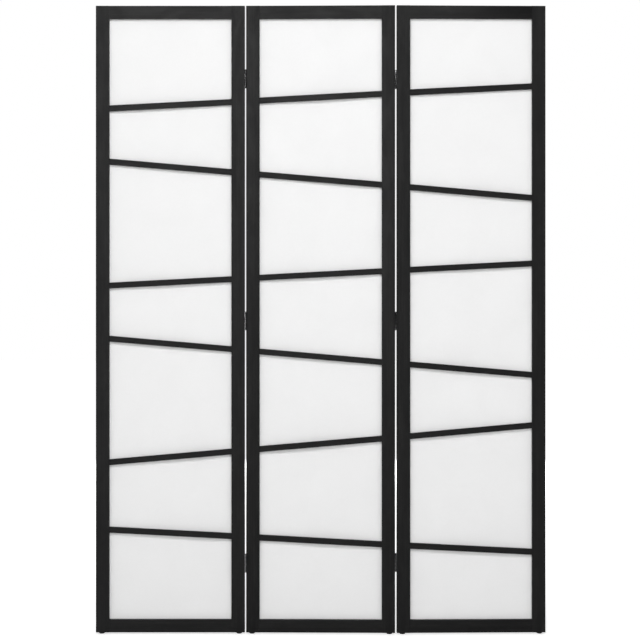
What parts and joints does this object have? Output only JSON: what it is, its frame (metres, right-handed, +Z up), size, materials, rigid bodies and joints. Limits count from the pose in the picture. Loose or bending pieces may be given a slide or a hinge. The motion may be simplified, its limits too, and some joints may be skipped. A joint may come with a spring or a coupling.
{
  "type": "folding screen",
  "caption": "Shoji folding screen: black wooden frames side by side on butt hinges, slanting lattice bars over white translucent paper, closing as a Z.",
  "frame": {"origin": "on the floor, under the middle of the whole screen's box as it stands", "axes": "+Z up, +X to the right seen from the front, -Y out of the front, where the bars are"},
  "size_m": [1.2172, 0.0298, 1.7],
  "materials": {
    "black_wood": "satin",
    "shoji_paper": "matte",
    "hinge_leaf": "satin",
    "hinge_pin": "satin",
    "hinge_screw": "satin",
    "glide_plastic": "satin"
  },
  "bodies": {
    "middle_panel": {"left_hinge_bottom_inner_leaf": "hinge_leaf", "left_hinge_inner_screws": "hinge_screw", "left_hinge_middle_inner_leaf": "hinge_leaf", "left_hinge_pins": "hinge_pin", "left_hinge_top_inner_leaf": "hinge_leaf", "middle_bar_1": "black_wood", "middle_bar_2": "black_wood", "middle_bar_3": "black_wood", "middle_bar_4": "black_wood", "middle_bar_5": "black_wood", "middle_bar_6": "black_wood", "middle_bottom_rail": "black_wood", "middle_end_stops": "black_wood", "middle_glides": "glide_plastic", "middle_left_stile": "black_wood", "middle_paper": "shoji_paper", "middle_right_stile": "black_wood", "middle_side_stops": "black_wood", "middle_top_rail": "black_wood", "right_hinge_bottom_inner_leaf": "hinge_leaf", "right_hinge_inner_screws": "hinge_screw", "right_hinge_middle_inner_leaf": "hinge_leaf", "right_hinge_pins": "hinge_pin", "right_hinge_top_inner_leaf": "hinge_leaf"},
    "left_panel": {"left_bar_1": "black_wood", "left_bar_2": "black_wood", "left_bar_3": "black_wood", "left_bar_4": "black_wood", "left_bar_5": "black_wood", "left_bar_6": "black_wood", "left_bottom_rail": "black_wood", "left_end_stops": "black_wood", "left_glides": "glide_plastic", "left_hinge_bottom_outer_leaf": "hinge_leaf", "left_hinge_middle_outer_leaf": "hinge_leaf", "left_hinge_outer_screws": "hinge_screw", "left_hinge_top_outer_leaf": "hinge_leaf", "left_left_stile": "black_wood", "left_paper": "shoji_paper", "left_right_stile": "black_wood", "left_side_stops": "black_wood", "left_top_rail": "black_wood"},
    "right_panel": {"right_bar_1": "black_wood", "right_bar_2": "black_wood", "right_bar_3": "black_wood", "right_bar_4": "black_wood", "right_bar_5": "black_wood", "right_bar_6": "black_wood", "right_bottom_rail": "black_wood", "right_end_stops": "black_wood", "right_glides": "glide_plastic", "right_hinge_bottom_outer_leaf": "hinge_leaf", "right_hinge_middle_outer_leaf": "hinge_leaf", "right_hinge_outer_screws": "hinge_screw", "right_hinge_top_outer_leaf": "hinge_leaf", "right_left_stile": "black_wood", "right_paper": "shoji_paper", "right_right_stile": "black_wood", "right_side_stops": "black_wood", "right_top_rail": "black_wood"}
  },
  "joints": [
    {"name": "left_fold", "type": "hinge", "parent": "middle_panel", "child": "left_panel", "pos_m": [-0.2038, -0.00974, 0], "axis": [0, 0, 1], "range_deg": [-5.2, 178.8]},
    {"name": "right_fold", "type": "hinge", "parent": "middle_panel", "child": "right_panel", "pos_m": [0.20337, 0.00833, 0], "axis": [0, 0, 1], "range_deg": [-6.6, 177.4]}
  ]
}
